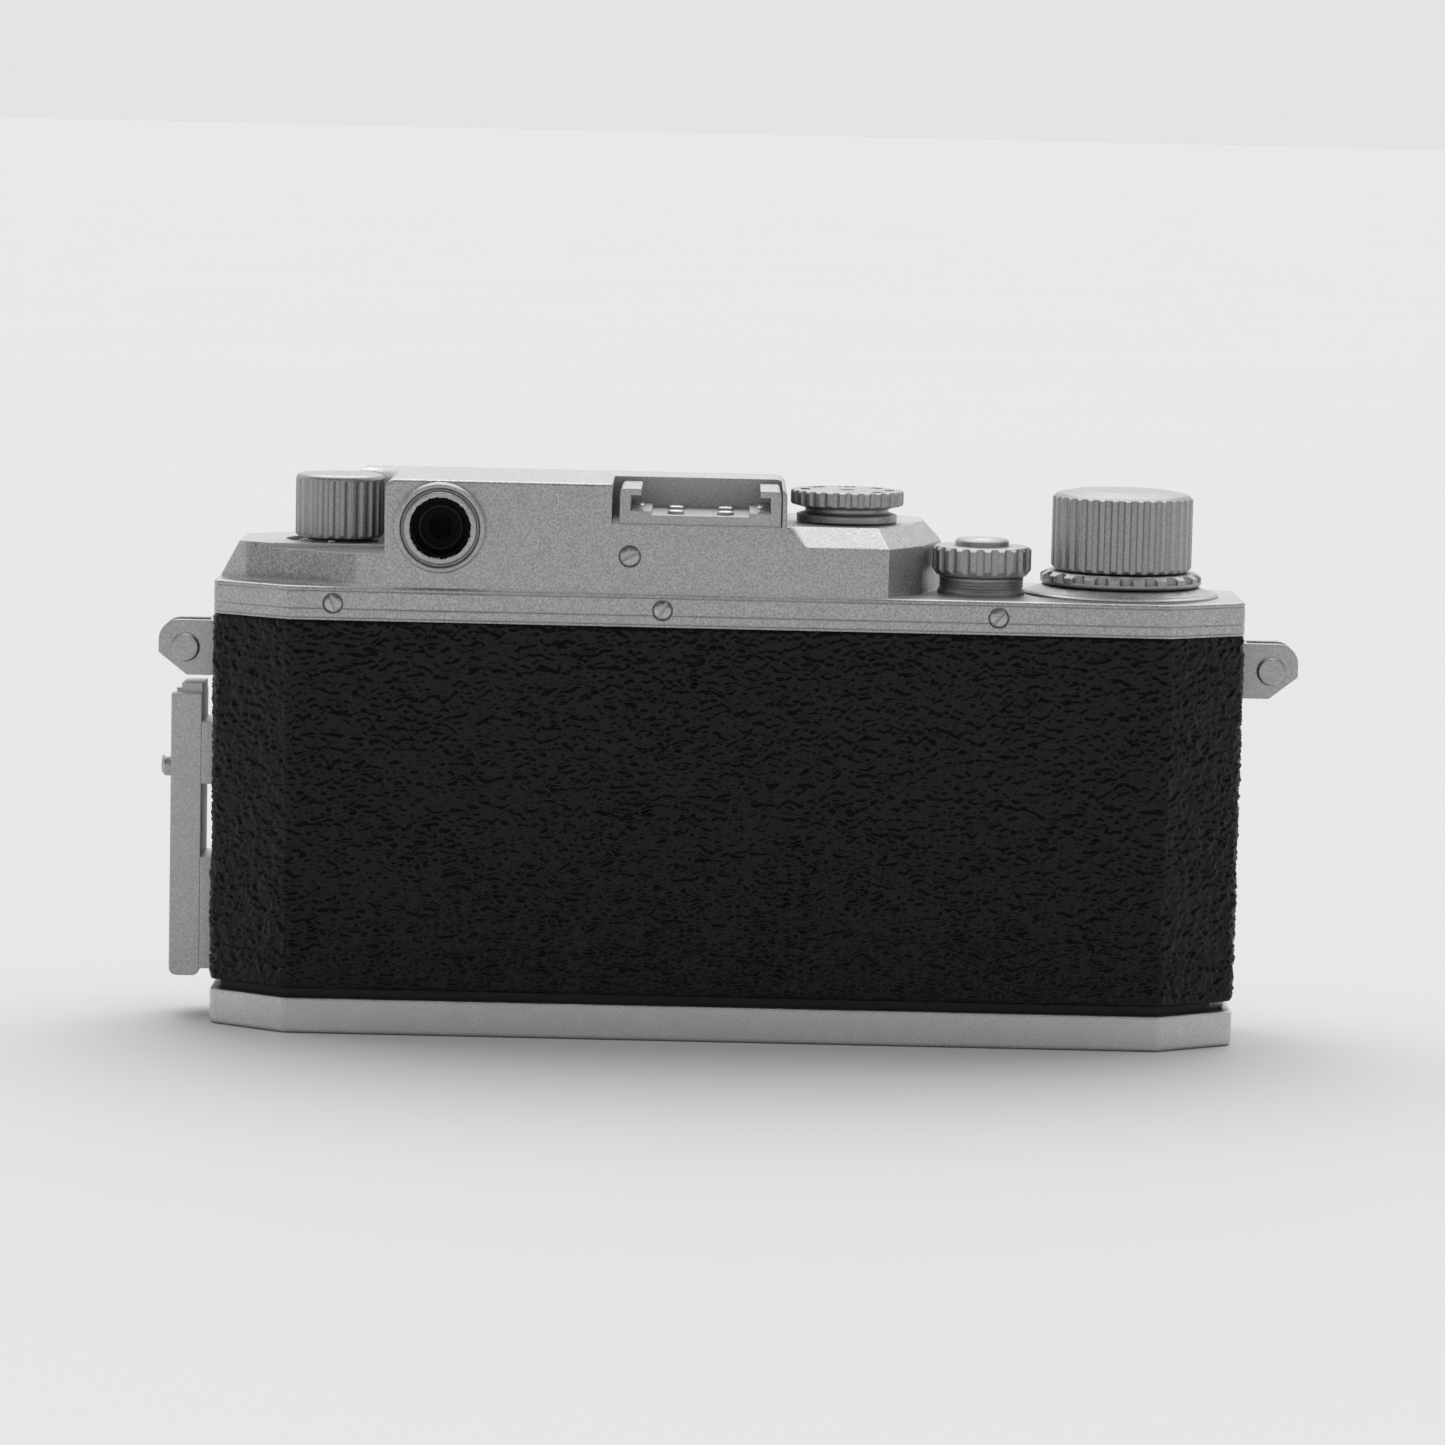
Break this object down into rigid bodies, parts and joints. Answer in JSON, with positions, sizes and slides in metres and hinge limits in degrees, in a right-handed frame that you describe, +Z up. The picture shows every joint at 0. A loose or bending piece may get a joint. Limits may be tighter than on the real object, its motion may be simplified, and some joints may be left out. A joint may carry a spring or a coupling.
{
  "type": "rangefinder film camera",
  "caption": "Bottom-loading 35 mm rangefinder film camera with a screw-mount lens, accessory shoe, film knobs and tripod socket.",
  "frame": {"origin": "centre of the base plate's underside, midway between the body's ends and between its flat front and rear faces", "axes": "+X towards the rewind knob, +Y out of the rear face where the eyepiece is, +Z up; the lens looks along -Y"},
  "size_m": [0.1538, 0.0629, 0.0745],
  "materials": {
    "top_silver": "satin, fine speckle, worn edges",
    "base_silver": "satin, fine grain",
    "black_covering": "coarse pebbled grain, semi-gloss",
    "shell_alloy": "satin",
    "knob_silver": "satin with polished knurl edges",
    "trim_silver": "satin",
    "lens_silver": "satin",
    "screw_steel": "plain",
    "brass_parts": "nickel-plated, satin",
    "gear_brass": "machined",
    "inner_steel": "brushed",
    "black_paint": "matt black",
    "curtain_cloth": "rubberised cloth, matt",
    "optical_glass": "coated, polished"
  },
  "bodies": {
    "base": {"base_plate": "base_silver", "tripod_bush": "brass_parts"},
    "base_key": {"base_key": "brass_parts", "key_tongue": "brass_parts"},
    "camera": {"body_shell": "shell_alloy", "covering": "black_covering", "hinge_pin": "screw_steel", "latch_catch": "brass_parts", "film_gate": "black_paint", "film_rails": "inner_steel", "pressure_plate": "inner_steel", "pressure_spring": "screw_steel", "shutter_frames": "inner_steel", "spring_rollers": "inner_steel", "first_curtain": "curtain_cloth", "second_curtain": "curtain_cloth", "top_deck": "black_paint", "top_cover": "top_silver", "cover_screws": "screw_steel", "accessory_shoe": "trim_silver", "shoe_spring": "screw_steel", "shoe_screws": "screw_steel", "rewind_bush": "knob_silver", "release_neck": "knob_silver", "counter_seat": "knob_silver", "eyepiece_ring": "trim_silver", "eyepiece_retainer": "trim_silver", "finder_glasses": "optical_glass", "window_frames": "trim_silver", "finder_tube": "black_paint", "beam_splitter": "optical_glass", "rangefinder_prism": "optical_glass", "mount_ring": "trim_silver", "lens_barrel": "lens_silver", "strap_lugs": "trim_silver", "lug_pins": "trim_silver", "flash_rail": "trim_silver", "rail_mounts": "trim_silver", "rail_screw": "trim_silver"},
    "advance_knob": {"advance_knob": "knob_silver", "advance_gear": "gear_brass"},
    "takeup_spool": {"takeup_spool": "black_paint"},
    "sprocket": {"sprocket": "gear_brass"},
    "shutter_drum": {"shutter_drum": "gear_brass"},
    "counter_dial": {"counter_dial": "knob_silver"},
    "rewind_shaft": {"rewind_shaft": "inner_steel"},
    "rewind_knob": {"rewind_knob": "knob_silver"},
    "selector_lever": {"selector_lever": "knob_silver"},
    "speed_dial": {"speed_dial": "knob_silver"},
    "release_collar": {"release_collar": "knob_silver"},
    "release_button": {"release_button": "knob_silver"},
    "focus_ring": {"focus_ring": "lens_silver", "focus_tab": "lens_silver"},
    "lens_head": {"lens_head": "lens_silver", "front_rim": "black_paint", "lens_elements": "optical_glass", "iris": "black_paint"},
    "aperture_ring": {"aperture_ring": "lens_silver"},
    "slow_speed_dial": {"slow_speed_dial": "knob_silver"},
    "rewind_lever": {"rewind_lever": "knob_silver"}
  },
  "joints": [
    {"name": "body_lift", "type": "hinge", "parent": "base", "child": "camera", "pos_m": [-0.0671, 0, 0.0073], "axis": [0, -1, 0], "range_deg": [0, 35]},
    {"name": "key_turn", "type": "hinge", "parent": "base", "child": "base_key", "pos_m": [0.0539, 0, 0.0003], "axis": [0, 0, 1], "range_deg": [0, 180]},
    {"name": "advance_turn", "type": "hinge", "parent": "camera", "child": "advance_knob", "pos_m": [-0.0528, 0, 0.068], "axis": [0, 0, -1], "continuous": true},
    {"name": "takeup_turn", "type": "hinge", "parent": "camera", "child": "takeup_spool", "pos_m": [-0.0528, 0, 0.03], "axis": [0, 0, -1], "continuous": true},
    {"name": "sprocket_turn", "type": "hinge", "parent": "camera", "child": "sprocket", "pos_m": [-0.0338, 0.003, 0.03], "axis": [0, 0, -1], "continuous": true},
    {"name": "drum_turn", "type": "hinge", "parent": "camera", "child": "shutter_drum", "pos_m": [-0.0155, 0.002, 0.03], "axis": [0, 0, -1], "continuous": true},
    {"name": "counter_turn", "type": "hinge", "parent": "camera", "child": "counter_dial", "pos_m": [-0.0528, 0, 0.062], "axis": [0, 0, -1], "continuous": true},
    {"name": "rewind_turn", "type": "hinge", "parent": "camera", "child": "rewind_shaft", "pos_m": [0.0529, 0, 0.06], "axis": [0, 0, -1], "continuous": true},
    {"name": "rewind_pull", "type": "slide", "parent": "rewind_shaft", "child": "rewind_knob", "axis": [0, 0, 1], "range_m": [0, 0.005]},
    {"name": "selector_turn", "type": "hinge", "parent": "camera", "child": "selector_lever", "pos_m": [0.0529, 0, 0.065], "axis": [0, 0, -1], "range_deg": [0, 50]},
    {"name": "speed_turn", "type": "hinge", "parent": "camera", "child": "speed_dial", "pos_m": [-0.0155, 0.002, 0.072], "axis": [0, 0, 1], "range_deg": [0, 315]},
    {"name": "collar_turn", "type": "hinge", "parent": "camera", "child": "release_collar", "pos_m": [-0.0338, 0.003, 0.064], "axis": [0, 0, 1], "range_deg": [0, 90]},
    {"name": "release_press", "type": "slide", "parent": "camera", "child": "release_button", "axis": [0, 0, -1], "range_m": [0, 0.0015], "stiffness_N_per_m": 400, "springref_m": -0.002},
    {"name": "focus_turn", "type": "hinge", "parent": "camera", "child": "focus_ring", "pos_m": [0.006, -0.028, 0.031], "axis": [0, -1, 0], "range_deg": [0, 150]},
    {"name": "lens_extend", "type": "slide", "parent": "camera", "child": "lens_head", "axis": [0, -1, 0], "range_m": [0, 0.004]},
    {"name": "aperture_turn", "type": "hinge", "parent": "lens_head", "child": "aperture_ring", "pos_m": [0.006, -0.04, 0.031], "axis": [0, -1, 0], "range_deg": [0, 100]},
    {"name": "slow_speed_turn", "type": "hinge", "parent": "camera", "child": "slow_speed_dial", "pos_m": [-0.027, -0.017, 0.042], "axis": [0, -1, 0], "range_deg": [0, 270]},
    {"name": "rewind_lever_turn", "type": "hinge", "parent": "camera", "child": "rewind_lever", "pos_m": [-0.044, -0.016, 0.049], "axis": [0, 1, 0], "range_deg": [0, 80]}
  ],
  "couplings": [
    {"joint": "takeup_turn", "follows": "advance_turn", "ratio": 0.9},
    {"joint": "sprocket_turn", "follows": "advance_turn", "ratio": -1},
    {"joint": "drum_turn", "follows": "advance_turn", "ratio": 1.0909},
    {"joint": "counter_turn", "follows": "advance_turn", "ratio": 0.025},
    {"joint": "lens_extend", "follows": "focus_turn", "m_per_rad": 0.0015278}
  ]
}
